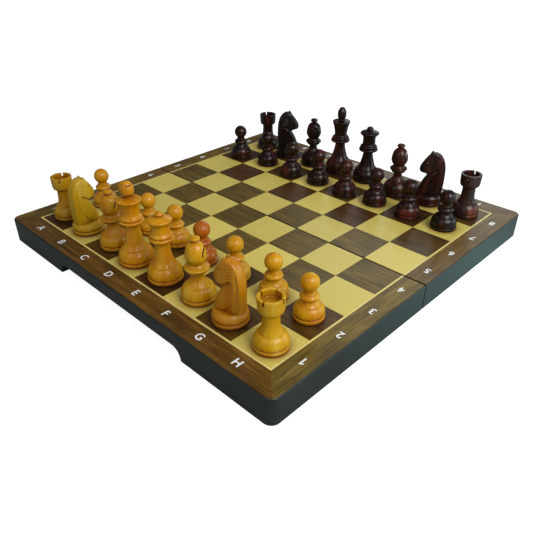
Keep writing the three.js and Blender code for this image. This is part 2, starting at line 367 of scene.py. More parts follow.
def mesh_of(name, vertices, faces):
    mesh = bpy.data.meshes.new(name)
    mesh.from_pydata([tuple(v) for v in vertices], [], faces)
    with edited(mesh) as shape:
        bmesh.ops.remove_doubles(shape, verts=shape.verts, dist=1e-7)
        bmesh.ops.dissolve_degenerate(shape, edges=shape.edges, dist=1e-8)
        bmesh.ops.recalc_face_normals(shape, faces=shape.faces)
    return mesh


def smoothed(mesh):
    mesh.shade_smooth()
    mesh.set_sharp_from_angle(angle=SHARP_ANGLE)
    return mesh


def coordinates(mesh):
    made = np.zeros(len(mesh.vertices) * 3, np.float32)
    mesh.vertices.foreach_get("co", made)
    return made.reshape(-1, 3)


def foot_of(node):
    """The middle of a node's box, at its lowest level."""
    low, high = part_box(node)
    return Vector(((low.x + high.x) / 2, (low.y + high.y) / 2, low.z))


def in_metres(mesh, place=(0, 0, 0)):
    """Scales a mesh drawn in millimetres, and carries it to a place."""
    mesh.transform(Matrix.Translation(place) @ Matrix.Scale(MM, 4))
    return mesh


def quarter_turn(steps, start=0.0):
    """The angles that divide a quarter turn into equal steps, both ends among them."""
    return [start + i * math.pi / 2 / steps for i in range(steps + 1)]


def give_grain(mesh, grain, tint=(1, 1, 1)):
    """Stores each vertex's place in the wood it was cut from, and its tint."""
    grain = np.asarray(grain, np.float32)
    vectors = mesh.attributes.new("grain", "FLOAT_VECTOR", "POINT")
    vectors.data.foreach_set("vector", grain.ravel())
    colours = np.ones((len(grain), 4), np.float32)
    colours[:, :3] = tint
    stored = mesh.attributes.new("tint", "FLOAT_COLOR", "POINT")
    stored.data.foreach_set("color", colours.ravel())
    return mesh


def piece(name, mesh, body, slot, replaces=(), material=None, place=(0, 0, 0), turn=0.0):
    """Shows a mesh as a piece that rides on a body. Its finish is its slot's, if none is named."""
    obj = placed(name, mesh)
    obj.location = place
    obj.rotation_euler.z = turn
    if not mesh.materials:
        mesh.materials.append(MATERIALS[material or slot])
    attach(obj, body)
    if replaces:
        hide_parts(*replaces)
    return obj


def ease_edges(obj, width):
    bevel = obj.modifiers.new("edges", "BEVEL")
    bevel.width = width
    bevel.segments = 2
    bevel.limit_method = "ANGLE"
    bevel.angle_limit = SHARP_ANGLE
    bevel.harden_normals = True


def combined(bodies, cutters=()):
    """One closed mesh, the union of the first meshes less the others, named after the first."""
    helpers = [placed("helper", mesh) for mesh in (*bodies, *cutters)]
    for i, helper in enumerate(helpers[1:], start=1):
        boolean = helpers[0].modifiers.new("combine", "BOOLEAN")
        boolean.solver = "EXACT"
        boolean.operation = "UNION" if i < len(bodies) else "DIFFERENCE"
        boolean.object = helper
    result = helpers[0].evaluated_get(bpy.context.evaluated_depsgraph_get())
    made = bpy.data.meshes.new_from_object(result)
    for helper in helpers:
        bpy.data.objects.remove(helper)
    with edited(made) as shape:
        bmesh.ops.remove_doubles(shape, verts=shape.verts, dist=1e-6)
        bmesh.ops.dissolve_degenerate(shape, edges=shape.edges, dist=1e-7)
    return made


def block(name, low, high):
    """A box, as a closed mesh."""
    corners = [(x, y, z) for z in (low[2], high[2]) for y in (low[1], high[1]) for x in (low[0], high[0])]
    faces = [(0, 2, 3, 1), (4, 5, 7, 6), (0, 1, 5, 4), (2, 6, 7, 3), (0, 4, 6, 2), (1, 3, 7, 5)]
    return mesh_of(name, corners, faces)


def slab(name, outline, bottom, top, edge):
    """A flat piece with the given outline, its top edges eased."""
    count = len(outline)
    vertices = [(x, y, z) for z in (bottom, top) for x, y in outline]
    sides = [(i, (i + 1) % count, count + (i + 1) % count, count + i) for i in range(count)]
    faces = [tuple(reversed(range(count))), tuple(range(count, 2 * count)), *sides]
    mesh = mesh_of(name, vertices, faces)
    with edited(mesh) as shape:
        rim = [e for e in shape.edges if all(v.co.z > top - edge for v in e.verts)]
        bmesh.ops.bevel(shape, geom=rim, offset=edge, segments=2, affect="EDGES", profile=0.5)
    return mesh


# ---- The board ----


def part_of(half, name, mesh, slot, *nodes):
    """Shows a mesh drawn for the front half as a piece of either half."""
    mesh.transform(Matrix.Rotation(HALVES[half], 4, "Z"))
    return piece(name, mesh, half + "_half", slot, [f"{half}_{node}" for node in nodes])


def grain_along(mesh, axis):
    """Wood coordinates with the grain along X or Y, from a random place in the flitch."""
    place = coordinates(mesh)
    order = (1, 2, 0) if axis == "X" else (0, 2, 1)
    start = [dice.uniform(0.1, 0.5) for _ in range(3)]
    return place[:, order] + np.array(start, np.float32)


def outer_rail_stations():
    """Where the outer rail's section is drawn: the outer face, the way inwards, and the bottom."""
    centre = SIDE - CORNER
    stations = []
    for angle in quarter_turn(CORNER_STEPS, math.pi):
        out = Vector((math.cos(angle), math.sin(angle)))
        stations.append((Vector((-centre, -centre)) + out * CORNER, -out, 0.0))
    inwards = Vector((0, 1))
    shoulder = HANDLE_HALF_LENGTH - HANDLE_RADIUS
    stations.append((Vector((-HANDLE_HALF_LENGTH, -SIDE)), inwards, 0.0))
    for angle in quarter_turn(HANDLE_STEPS):
        x = -shoulder - HANDLE_RADIUS * math.cos(angle)
        bottom = HANDLE_DEPTH - HANDLE_RADIUS + HANDLE_RADIUS * math.sin(angle)
        stations.append((Vector((x, -SIDE)), inwards, bottom))
    mirrored = [
        (Vector((-at.x, at.y)), Vector((-way.x, way.y)), bottom)
        for at, way, bottom in reversed(stations)
    ]
    return stations + mirrored


def side_rail_stations(sign):
    inwards = Vector((-sign, 0))
    ends = (CORNER - SIDE, -RAIL_GAP)
    return [(Vector((sign * SIDE, y)), inwards, 0.0) for y in ends]


def rail_section(bottom):
    """The rail's cross-section: how far in from the outer face, and how high."""
    turn = quarter_turn(LIP_STEPS)
    lip = [(LIP * (1 - math.cos(a)), TOP - LIP + LIP * math.sin(a)) for a in turn]
    return [(0, bottom), *lip, (LIP, BED), (WALL, BED), (WALL, bottom)]


def swept_rail(name, stations):
    vertices = []
    for at, inwards, bottom in stations:
        vertices += [(*(at + inwards * inset), z) for inset, z in rail_section(bottom)]
    count = len(rail_section(0))
    last = (len(stations) - 1) * count
    faces = [tuple(range(count)), tuple(last + i for i in reversed(range(count)))]
    for start in range(0, last, count):
        for i in range(count):
            j = (i + 1) % count
            faces.append((start + i, start + count + i, start + count + j, start + j))
    return mesh_of(name, vertices, faces)


def case(half):
    """The lacquered rails of one half."""
    rails = {
        "outer_rail": outer_rail_stations(),
        "left_rail": side_rail_stations(-1),
        "right_rail": side_rail_stations(1),
    }
    for rail, stations in rails.items():
        mesh = swept_rail(rail, stations)
        if rail == "outer_rail":
            mesh = combined([mesh], [magnet_pocket(side) for side in ("left", "right")])
        obj = part_of(half, f"{half}_{rail}_lacquered", smoothed(mesh), "black_lacquer", rail)
        ease_edges(obj, LACQUER_EDGE)


def magnet_pocket(side):
    """The hole for a magnet in the front half's rim, open at the bottom."""
    node = f"front_{side}_magnet"
    radius, height = disc_size(node)
    radius += 0.15
    pocket = turned("pocket", [(radius, -1), (radius, height + 0.1)], segments=48)
    return in_metres(pocket, (*foot_of(node).xy, 0))


def disc_size(node):
    """The radius and the height of an upright disc, in millimetres."""
    low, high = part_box(node)
    return (high.x - low.x) / 2 / MM, (high.z - low.z) / MM


def tile(shape, low_x, low_y):
    """Adds one square of veneer, its top edges eased, and returns its vertices."""
    x0, x1 = low_x + VENEER_GAP, low_x + SQUARE - VENEER_GAP
    y0, y1 = low_y + VENEER_GAP, min(low_y + SQUARE - VENEER_GAP, -FOLD_GAP)
    rings = []
    for inset, z in ((0, BED), (0, TOP - TILE_EDGE), (TILE_EDGE, TOP)):
        corners = ((x0, y0, 1, 1), (x1, y0, -1, 1), (x1, y1, -1, -1), (x0, y1, 1, -1))
        rings.append([shape.verts.new((x + i * inset, y + j * inset, z)) for x, y, i, j in corners])
    shape.faces.new(reversed(rings[0]))
    shape.faces.new(rings[2])
    for lower, upper in zip(rings, rings[1:]):
        for i in range(4):
            j = (i + 1) % 4
            shape.faces.new((lower[i], lower[j], upper[j], upper[i]))
    return [v for ring in rings for v in ring]


# The rows of dark squares, counted from the outer rail, that are tinted darker and redder.
RED_ROWS = {"front": (0, 1), "back": (0, 1, 2)}
DARK_RED_ROW_TINT = Vector((0.52, 0.27, 0.12))


def squares(half, colour, slot):
    """The squares of one colour on one half. Each is a leaf of its own, from another place."""
    mesh = bpy.data.meshes.new("squares")
    grain = []
    tints = []
    first = 0 if colour == "dark" else 1
    with edited(mesh) as shape:
        for rank in range(4):
            for column in range((rank + first) % 2, len(FILES), 2):
                vertices = tile(shape, -FIELD + column * SQUARE, -FIELD + rank * SQUARE)
                start = Vector([dice.uniform(0.1, 0.9) for _ in range(3)])
                red = dice.uniform(0.5, 1) if colour == "dark" and rank in RED_ROWS[half] else 0
                tint = Vector((1, 1, 1)).lerp(DARK_RED_ROW_TINT, red) * dice.uniform(0.92, 1.08)
                skew = dice.uniform(-0.05, 0.05)
                for x, y, z in (vertex.co for vertex in vertices):
                    grain.append((y + skew * x + start.x, z + start.y, x + start.z))
                    tints.append(tint)
    give_grain(mesh, grain, tints)
    part_of(half, f"{half}_{colour}_squares", mesh, slot, "playing_field_veneer")


def strips(half, kind, outlines, tints, slot, node):
    """Veneer strips round the squares, with the grain along each."""
    for side, outline in outlines.items():
        mesh = slab(kind, outline, BED, TOP, VENEER_EDGE)
        give_grain(mesh, grain_along(mesh, "X" if side == "outer" else "Y"), tints[side])
        part_of(half, f"{half}_{side}_{kind}", mesh, slot, node)


def stringing(half):
    """The light line round the squares, mitred at its corners."""
    a, b = FIELD + VENEER_GAP, STRINGING
    outlines = {
        "outer": [(-a, -a), (-b, -b), (b, -b), (a, -a)],
        "left": [(-a, -FOLD_GAP), (-b, -FOLD_GAP), (-b, -b), (-a, -a)],
        "right": [(a, -a), (b, -b), (b, -FOLD_GAP), (a, -FOLD_GAP)],
    }
    tints = dict.fromkeys(outlines, (1.12, 1.14, 1.7))
    strips(half, "stringing", outlines, tints, "maple_veneer", "stringing")


# The border's strips are tinted apart, partly as walnut from different places and partly as a
# painted sheen: the side strips are paler than the outer ones, and the front half's right strip,
# along the h file, is bluer, standing in for the gloss that side shows. The back half is turned
# round, so its left strip lies on the same side of the board as the front half's right one.
BORDER_TINTS_AND_SHEEN = {
    "front": {"outer": (0.95, 0.7, 0.74), "left": (1.3, 1.2, 1.3), "right": (1.2, 1.25, 1.6)},
    "back": {"outer": (0.95, 0.75, 0.75), "left": (1.15, 0.98, 0.8), "right": (1.2, 1.1, 1.0)},
}


def border(half):
    """The walnut border, mitred at its corners."""
    s = STRINGING + VENEER_GAP

    def corner(sign, start, end):
        radius = CORNER - LIP
        centre = SIDE - CORNER
        angles = [math.radians(start + (end - start) * i / 6) for i in range(7)]
        return [(sign * (centre + radius * math.cos(a)), -centre - radius * math.sin(a)) for a in angles]

    outlines = {
        "outer": [(s, -s), (-s, -s), *corner(-1, 45, 90), *corner(1, 90, 45)],
        "left": [(-s, -s), (-s, -FOLD_GAP), (-BORDER, -FOLD_GAP), *corner(-1, 0, 45)],
        "right": [(s, -FOLD_GAP), (s, -s), *corner(1, 45, 0), (BORDER, -FOLD_GAP)],
    }
    strips(half, "border", outlines, BORDER_TINTS_AND_SHEEN[half], "walnut_veneer", "border_veneer")


def numeral_one():
    """The figure 1 with a flag and no foot, which the built-in typeface lacks."""
    outline = [(0.0, 0), (0.13, 0), (0.13, 0.74), (0.03, 0.74), (-0.17, 0.6), (-0.17, 0.49), (0.0, 0.58)]
    points = [(x * GLYPH_SIZE, y * GLYPH_SIZE) for x, y in outline]
    return slab("1", points, -GLYPH_THICKNESS, GLYPH_THICKNESS, GLYPH_THICKNESS / 4)


def letters(text):
    """A character of the built-in typeface as a thin closed mesh."""
    curve = bpy.data.curves.new(text, "FONT")
    curve.body = text
    curve.size = GLYPH_SIZE
    curve.offset = GLYPH_BOLDNESS * GLYPH_SIZE
    curve.extrude = GLYPH_THICKNESS
    curve.resolution_u = 6
    holder = placed(text, curve)
    result = holder.evaluated_get(bpy.context.evaluated_depsgraph_get())
    mesh = bpy.data.meshes.new_from_object(result)
    bpy.data.objects.remove(holder)
    return mesh


def glyph(text, at, turn):
    """One printed character, its centre at a point of the border."""
    mesh = numeral_one() if text == "1" else letters(text)
    low, high = coordinates(mesh).min(0), coordinates(mesh).max(0)
    centre = Vector(((low[0] + high[0]) / 2, (low[1] + high[1]) / 2, -GLYPH_THICKNESS))
    mesh.transform(Matrix.Translation(-centre))
    mesh.transform(Matrix.Translation((*at, TOP)) @ Matrix.Rotation(turn, 4, "Z"))
    return mesh


def printed_coordinates():
    """The letters of the files and the numbers of the ranks, printed on the border."""
    middle = (STRINGING + BORDER) / 2
    for half, sign, ranks in (("front", -1, range(1, 5)), ("back", 1, range(5, 9))):
        marks = [
            glyph(letter, ((i - 3.5) * SQUARE, sign * middle), HALVES[half])
            for i, letter in enumerate(FILES)
        ]
        for rank in ranks:
            y = (rank - 4.5) * SQUARE
            marks.append(glyph(str(rank), (-middle, y), 0))
            marks.append(glyph(str(rank), (middle, y), math.pi))
        mesh = bpy.data.meshes.new(half + "_coordinates")
        with edited(mesh) as shape:
            for mark in marks:
                shape.from_mesh(mark)
            bmesh.ops.remove_doubles(shape, verts=shape.verts, dist=1e-7)
        piece(mesh.name, mesh, half + "_half", "maple_veneer", material="printed_white")


def tray_lining(half):
    """Felt pressed into the tray: a shell with soft inner corners."""
    low, high, t = LINING_LOW, LINING_HIGH, LINING_THICKNESS
    outside = block("outside", low, high)
    inside = block("inside", (low.x + t, low.y + t, low.z - 10 * MM), (high.x - t, high.y - t, high.z - t))
    mesh = combined([outside], [inside])
    with edited(mesh) as shape:
        inner = [
            e
            for e in shape.edges
            if all(low.x + t / 2 < v.co.x < high.x - t / 2 for v in e.verts)
            and all(low.y + t / 2 < v.co.y < high.y - t / 2 for v in e.verts)
            and any(v.co.z > low.z + t for v in e.verts)
        ]
        bmesh.ops.bevel(
            shape, geom=inner, offset=LINING_CORNER, segments=4, affect="EDGES", profile=0.5
        )
    part_of(half, mesh.name, smoothed(mesh), "felt", "tray_lining")


# ---- Turned work ----


def arc(start, end, bulge):
    """The points after start of an arc to end. A positive bulge swells away from the axis."""
    start, end = Vector(start), Vector(end)
    along = (end - start).normalized()
    out = Vector((along.y, -along.x)) * math.copysign(1, bulge)
    turn = 4 * math.atan(abs(bulge))
    radius = (end - start).length / 2 / math.sin(turn / 2)
    centre = (start + end) / 2 - out * radius * math.cos(turn / 2)
    steps = math.ceil(turn / ARC_STEP)
    angles = [turn * (i / steps - 0.5) for i in range(1, steps + 1)]
    return [centre + radius * (out * math.cos(a) + along * math.sin(a)) for a in angles]


def eased(points):
    """The same line with its sharp corners turned into small curves."""
    made = [points[0]]
    for before, corner, after in zip(points, points[1:], points[2:]):
        back, on = before - corner, after - corner
        if math.pi - back.angle(on) < ROUNDED_ANGLE:
            made.append(corner)
            continue
        start = corner + back.normalized() * min(EASED_CORNER, 0.4 * back.length)
        end = corner + on.normalized() * min(EASED_CORNER, 0.4 * on.length)
        for t in (0, 0.33, 0.67, 1):
            made.append(start.lerp(corner, t).lerp(corner.lerp(end, t), t))
    made.append(points[-1])
    return made


def turned(name, profile, segments=TURNED_SEGMENTS):
    """A closed mesh turned about Z from steps of radius, height and, for an arc, its bulge."""
    points = [Vector((0, profile[0][1])), Vector(profile[0][:2])]
    for step in profile[1:]:
        points += arc(points[-1], step[:2], step[2]) if len(step) == 3 else [Vector(step)]
    if points[-1].x > 0:
        points.append(Vector((0, points[-1].y)))
    line = eased(points)
    turns = [2 * math.pi * i / segments for i in range(segments)]
    vertices = [(0, 0, line[0].y)]
    for r, z in line[1:-1]:
        vertices += [(r * math.cos(a), r * math.sin(a), z) for a in turns]
    vertices.append((0, 0, line[-1].y))
    last = len(vertices) - 1
    faces = []
    for i in range(segments):
        j = (i + 1) % segments
        faces.append((0, 1 + j, 1 + i))
        faces.append((last, last - segments + i, last - segments + j))
        for ring in range(1, last - segments, segments):
            faces.append((ring + i, ring + j, ring + segments + j, ring + segments + i))
    return mesh_of(name, vertices, faces)


# The radius of each kind's plinth, in millimetres.
FOOT_RADIUS = {"pawn": 13.1, "rook": 14.2, "knight": 15.3, "bishop": 15, "queen": 15.8, "king": 16.4}


def foot(kind, top_radius, top, bulge):
    """The profile that every base shares: a plinth, a groove and a swelling above it."""
    radius = FOOT_RADIUS[kind]
    return [
        (radius - 0.6, FELT_FOOT),
        (radius, FELT_FOOT + 0.6, 0.4),
        (radius, 3.5),
        (radius - 1.5, 4.2),
        (radius - 1.4, 4.7),
        (radius - 0.5, 5.1),
        (top_radius, top, bulge),
    ]


# Each kind below is drawn for an army's colour. The dark bishops, queen and king are slimmer.


def pawn(colour):
    collar = [(8.9, 13.1), (8.8, 13.7), (6.4, 17.6, -0.2), (6.2, 18.2), (8, 20.5, 0.3)]
    ball = [(5.6, 23.3, 0.25), (4.7, 23.9), (4.7, 26.8), (0, 40.9, 0.705)]
    return turned("pawn", [*foot("pawn", 9.9, 12.9, 0.27), *collar, *ball])


def rook(colour):
    stem = [(9.3, 14), (9.2, 14.7), (6.8, 22, -0.13), (6.5, 30.4), (7.4, 31.8, -0.2)]
    drum = [(9.2, 33.1, 0.1), (9.7, 33.8), (9.5, 34.4), (10.1, 35.5, 0.25), (10.5, 45)]
    well = [(10.2, 45.5, 0.3), (8.1, 45.5), (7.9, 45.1), (7.9, 39.4), (7.3, 39)]
    body = turned("rook", [*foot("rook", 10.2, 13.8, 0.24), *stem, *drum, *well])
    cuts = [block("cut", (-12, -0.85, 41.7), (12, 0.85, 47)) for _ in range(2)]
    cuts[1].transform(Matrix.Rotation(math.pi / 2, 4, "Z"))
    return combined([body], cuts)


def bishop(colour):
    waist, rim = (5.3, 10) if colour == "light" else (4.5, 8.9)
    stem = [(10.9, 13.8), (10.8, 14.5), (waist, 23, -0.24), (waist, 25.4), (rim - 1.6, 26.6, -0.1)]
    collar = [(rim - 1.6, 27.4, 0.5), (rim - 2.2, 27.9), (rim, 29.1, 0.2), (rim, 31.4, 0.5)]
    throat = [(rim - 1.2, 31.8), (6.2, 34.2, -0.2), (6.2, 34.9)]
    mitre = [(9.1, 41, 0.15), (7.5, 49.3, 0.07), (2.7, 54, 0.16), (2.6, 54.5)]
    button = [(3.8, 55.1, -0.1), (3.8, 57.4, 0.45), (0, 58.7, 0.15)]
    base = foot("bishop", 11.9, 13.6, 0.2)
    body = turned("bishop", [*base, *stem, *collar, *throat, *mitre, *button])
    slit = block("slit", (-0.5, -10, -4), (0.5, 10, 9))
    slit.transform(Matrix.Translation((6.3, 0, 46.5)) @ Matrix.Rotation(0.24, 4, "Y"))
    return combined([body], [slit])


def rings(radius, bottom, neck):
    """A thick ring with a thinner one above it, and the hollow that leads up to the neck."""
    lower = [(radius, bottom), (radius, bottom + 2.9, 0.5), (radius - 1, bottom + 3.3)]
    return [*lower, (radius - 1, bottom + 5.9, 0.5), (neck + 0.2, bottom + 7.7, -0.15)]


def queen(colour):
    waist, neck, collar = (6.5, 7.9, 39) if colour == "light" else (5.4, 7.1, 36.7)
    stem = [(11.3, 14.5), (11.2, 15.2), (7.9, 22.5, -0.14), (waist, collar - 2.5, -0.05)]
    flare = [(8.3, collar - 0.8, -0.15)]
    crown = [(neck, 51.3, -0.02), (10, 56, -0.2), (10.2, 58.3, 0.55), (9.3, 58.8), (3.8, 61, -0.03)]
    knob = [(3.2, 61.1), (3.4, 61.7), (3.9, 62.3, 0.2), (0, 64.6, 0.4)]
    base = foot("queen", 12.3, 14.3, 0.24)
    return turned("queen", [*base, *stem, *flare, *rings(10.2, collar, neck), *crown, *knob])


def king(colour):
    waist, neck, head, collar = (6.3, 7.9, 5.8, 40.2) if colour == "light" else (5.6, 7.2, 5.1, 37.9)
    stem = [(11.7, 14.7), (11.6, 15.4), (8.2, 23, -0.14), (waist, collar - 2.7, -0.06)]
    flare = [(8.5, collar - 0.8, -0.15)]
    cup = [(neck, collar + 10.4, -0.03), (neck + 2.9, 60.8, -0.06), (neck + 3.1, 62.3, 0.35)]
    shoulder = [(neck + 2.2, 62.7, 0.2), (3.6, 64, 0.08), (3.4, 64.8, -0.2)]
    finial = [(head, 70.4, 0.22), (head - 1.6, 76.8, 0.2), (0, 79, 0.3)]
    base = foot("king", 12.7, 14.5, 0.24)
    trunk = [*base, *stem, *flare, *rings(10.5, collar, neck)]
    body = turned("king", [*trunk, *cup, *shoulder, *finial])
    notches = [block("notch", (head - 2.6, -6, z), (8, 6, z + 1)) for z in (67, 75.6)]
    return combined([body], notches)


# ---- The carved knight ----

# Ribs across the neck and then round the head: the front and the back of each, and half its
# thickness. A point is given as its distance forward of the axis and its height.
KNIGHT_RIBS = [
    ((13.2, 9.0), (-12.4, 9.0), 7.2),
    ((12.9, 13.0), (-13.0, 13.0), 7.2),
    ((10.6, 20.5), (-13.6, 21.0), 6.9),
    ((8.2, 26.0), (-13.8, 28.5), 6.6),
    ((5.4, 30.4), (-13.7, 34.5), 6.5),
    ((4.6, 32.8), (-13.5, 38.5), 6.6),
    ((7.6, 34.6), (-13.1, 42.0), 6.7),
    ((11.6, 35.4), (-12.4, 45.5), 6.6),
    ((13.3, 37.6), (-11.2, 49.0), 6.4),
    ((13.0, 41.6), (-9.4, 52.2), 6.1),
    ((10.6, 46.0), (-7.2, 54.6), 5.8),
    ((7.8, 50.0), (-5.0, 56.0), 5.4),
    ((4.8, 53.6), (-3.0, 56.7), 4.8),
    ((1.8, 56.2), (-1.2, 57.0), 3.2),
]
KNIGHT_STEPS = 9  # rows of the surface from each rib to the next
KNIGHT_COLUMNS = 52


def spline(points, steps):
    """Points along a smooth curve through the given ones, with steps between each two."""
    padded = [2 * points[0] - points[1], *points, 2 * points[-1] - points[-2]]
    made = []
    for a, b, c, d in zip(padded, padded[1:], padded[2:], padded[3:]):
        for i in range(steps):
            t = i / steps
            made.append(
                0.5 * (2 * b + (c - a) * t + (2 * a - 5 * b + 4 * c - d) * t**2)
                + 0.5 * (3 * b - a - 3 * c + d) * t**3
            )
    made.append(points[-1])
    return np.array(made)


def ramp(value, low, high):
    """A smooth step from 0 at low to 1 at high."""
    t = np.clip((value - low) / (high - low), 0, 1)
    return t * t * (3 - 2 * t)


def groove(u, z, line, width):
    """1 on a line through the given points and 0 beyond its width."""
    nearest = np.full(u.shape, 1e9)
    for (u0, z0), (u1, z1) in zip(line, line[1:]):
        du, dz = u1 - u0, z1 - z0
        t = np.clip(((u - u0) * du + (z - z0) * dz) / (du * du + dz * dz), 0, 1)
        nearest = np.minimum(nearest, np.hypot(u - u0 - t * du, z - z0 - t * dz))
    return 1 - ramp(nearest, 0, width)


def behind(u, z, line):
    """How far a point lies behind a line drawn from the top down, in millimetres."""
    points = sorted(line, key=lambda point: point[1])
    return np.interp(z, [at for _, at in points], [reach for reach, _ in points]) - u


def knight_relief(u, z):
    """How far the carving stands above the plain side of the head and neck, in millimetres."""
    jaw = [(6.4, 32.6), (2.4, 34.4), (-1.6, 36.6), (-4.2, 39.0)]
    mouth = [(13.6, 38.4), (9.6, 39.2)]
    mane = [(-2.5, 58), (-8.4, 50), (-9.4, 42), (-9.4, 32), (-7.0, 23), (-1.4, 15), (6, 9)]
    relief = -0.8 * ramp(behind(u, z, mane), -0.3, 0.6)
    relief -= 1.5 * groove(u, z, jaw, 1.9)
    relief -= 0.6 * groove(u, z, mouth, 0.6)
    for i in range(4):
        lock = [(-0.6 - 0.5 * i, 48.6 - 2.4 * i), (-7.6, 51.2 - 2.4 * i)]
        relief -= 0.3 * groove(u, z, lock, 1.1)
    relief -= 1.0 * (1 - ramp(np.hypot((u - 5.6) / 1.5, z - 47.8), 0.3, 1.1))
    relief -= 0.8 * (1 - ramp(np.hypot(u - 11.2, z - 40.8), 0.2, 0.9))
    return relief


def rounded(past):
    """How wide a rounded edge is at a share of the way out over it."""
    power = 2.6  # 2 would be a circle, and more is squarer
    return (1 - np.clip(past, 0, 1) ** power) ** (1 / power)


def knight_surface():
    """The head and neck over the ribs, carved: rows of distance forward, half width and height.

    A row runs along its rib from the front of the neck to the back.
    """
    fronts, backs, halves = (
        spline([np.atleast_1d(rib[i]) for rib in KNIGHT_RIBS], KNIGHT_STEPS) for i in range(3)
    )
    share = (1 - np.cos(np.linspace(0, math.pi, KNIGHT_COLUMNS))) / 2
    place = fronts[:, None] + (backs - fronts)[:, None] * share[None, :, None]
    u, z = place[..., 0], place[..., 1]
    front, back = rounded(1 - share / 0.3), rounded((share - 0.9) / 0.1)
    width = halves * front * back * (1 - 0.14 * ramp(share, 0.7, 1.0))
    width *= 1 - 0.3 * ramp(u, 6, 13.5) * ramp(z, 31, 35)
    edge = np.minimum(ramp(share, 0.02, 0.12), 1 - ramp(share, 0.88, 0.97))
    width = np.maximum(width + knight_relief(u, z) * edge, 0)
    return np.stack([u, width, z], axis=-1)


def knight_body():
    """The surface and its mirror image, joined along the front and the back, as a closed mesh."""
    surface = knight_surface()
    rows = len(surface)
    vertices = []
    for row in surface:
        vertices += [*row, *(row[-2:0:-1] * (1, -1, 1))]
    loop = 2 * KNIGHT_COLUMNS - 2
    faces = [tuple(reversed(range(loop))), tuple((rows - 1) * loop + i for i in range(loop))]
    for row in range(rows - 1):
        for i in range(loop):
            j = (i + 1) % loop
            start = row * loop
            faces.append((start + i, start + j, start + loop + j, start + loop + i))
    return mesh_of("knight_body", vertices, faces)


def knight_ear(side):
    """A pointed ear that leans forwards and outwards, on the side of y that has the sign."""
    ear = turned("ear", [(1.6, 0), (2.0, 1.8, 0.1), (0, 5.8, 0.16)], segments=20)
    lean = Matrix.Rotation(math.radians(-14), 4, "Y") @ Matrix.Rotation(-side * 0.1, 4, "X")
    ear.transform(Matrix.Translation((2.4, side * 2.6, 52.8)) @ lean)
    return ear


def knight(colour):
    base = turned("knight", [*foot("knight", 12.9, 11.2, 0.3), (11.2, 11.9, 0.2)])
    return combined([base, knight_body(), knight_ear(1), knight_ear(-1)])


# ---- The two armies ----

KINDS = {"pawn": pawn, "rook": rook, "knight": knight, "bishop": bishop, "queen": queen, "king": king}
BACK_RANK = ("rook_a", "knight_b", "bishop_c", "king", "queen", "bishop_f", "knight_g", "rook_h")

# How far each piece is turned from +X towards +Y, in degrees.
TURNED_BY = {
    "light_rook_a": 54,
    "light_knight_b": 98,
    "light_bishop_c": 48,
    "light_king": -10,
    "light_bishop_f": 48,
    "light_knight_g": 192,
    "light_rook_h": 12,
    "dark_rook_a": 57,
    "dark_knight_b": 45,
    "dark_bishop_c": 300,
    "dark_king": 200,
    "dark_bishop_f": 20,
    "dark_knight_g": 215,
    "dark_rook_h": 6,
}

# Pieces tinted apart from the rest.
TINTS = {
    "light_pawn_e": (0.7, 0.38, 0.12),
    "light_knight_g": (0.82, 0.7, 0.9),
    "light_rook_h": (0.98, 1.16, 1.9),
    "light_bishop_f": (1.0, 1.1, 1.5),
    "light_knight_b": (0.82, 1.0, 1.2),
    "light_rook_a": (0.8, 0.85, 0.9),
    "dark_knight_b": (0.4, 0.5, 0.7),
    "dark_bishop_f": (0.8, 1.1, 1.0),
    "dark_pawn_g": (1.5, 1.3, 1.0),
    "dark_rook_h": (3.2, 7, 12),
}


def wooden_mesh(colour, kind):
    """The shape that every piece of one kind and colour shares."""
    mesh = smoothed(in_metres(KINDS[kind](colour)))
    return give_grain(mesh, coordinates(mesh))


def stand(node, slot, mesh):
    """Puts one chess piece where the frame has it, turned and tinted in its own way."""
    turn = math.radians(TURNED_BY.get(node, dice.uniform(0, 360)))
    obj = piece(node + "_turned", mesh, node, slot, [node], place=foot_of(node), turn=turn)
    light = dice.uniform(0.86, 1.06)
    default = (light, light * dice.uniform(0.92, 1.06), light * dice.uniform(0.8, 1.0))
    obj["tint"] = TINTS.get(node, default)
    obj["seed"] = dice.uniform(0, 1)


def felt_foot(node, radius):
    profile = [(radius - 0.7, 0), (radius - 0.5, 0.15), (radius - 0.45, FELT_FOOT)]
    disc = in_metres(turned("felt", profile, segments=48), foot_of(node))
    piece(node + "_felt", smoothed(disc), node, "felt")


def army(colour, slot):
    meshes = {kind: wooden_mesh(colour, kind) for kind in KINDS}
    for name in (*BACK_RANK, *("pawn_" + letter for letter in FILES.lower())):
        kind = name.split("_")[0]
        stand(f"{colour}_{name}", slot, meshes[kind])
        felt_foot(f"{colour}_{name}", FOOT_RADIUS[kind])


# ---- Hinges and magnets ----

HINGE_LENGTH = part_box("left_hinge_pin")[1].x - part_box("left_hinge_pin")[0].x
HINGE_AXIS_Z = sum(corner.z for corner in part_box("left_hinge_pin")) / 2
HINGE_X = {side: sum(c.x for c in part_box(side + "_hinge_pin")) / 2 for side in ("left", "right")}
OTHER_SIDE = {"left": "right", "right": "left"}

# The rest is in millimetres.
KNUCKLES = 5
KNUCKLE_RADIUS = 1.75
KNUCKLE_GAP = 0.3
BORE_RADIUS = 1.0
PIN_RADIUS = 0.8
LEAF_BOTTOM = 0.05
LEAF_TOP = 1.05
LEAF_EDGES = (-7.5, -2.2)  # from the hinge axis
SCREW_PLACES = [(x, -4.9, 0) for x in (-10.5, 0, 10.5)]


def rod(name, radius, length, edge, segments):
    """A round bar along Z with rounded ends."""
    start = [(radius - edge, 0), (radius, edge, 0.4)]
    return turned(name, [*start, (radius, length - edge), (radius - edge, length, 0.4)], segments)


def knuckle(length):
    barrel = rod("knuckle", KNUCKLE_RADIUS, length, 0.2, segments=36)
    hole = turned("bore", [(BORE_RADIUS, -1), (BORE_RADIUS, length + 1)], segments=28)
    return combined([barrel], [hole])


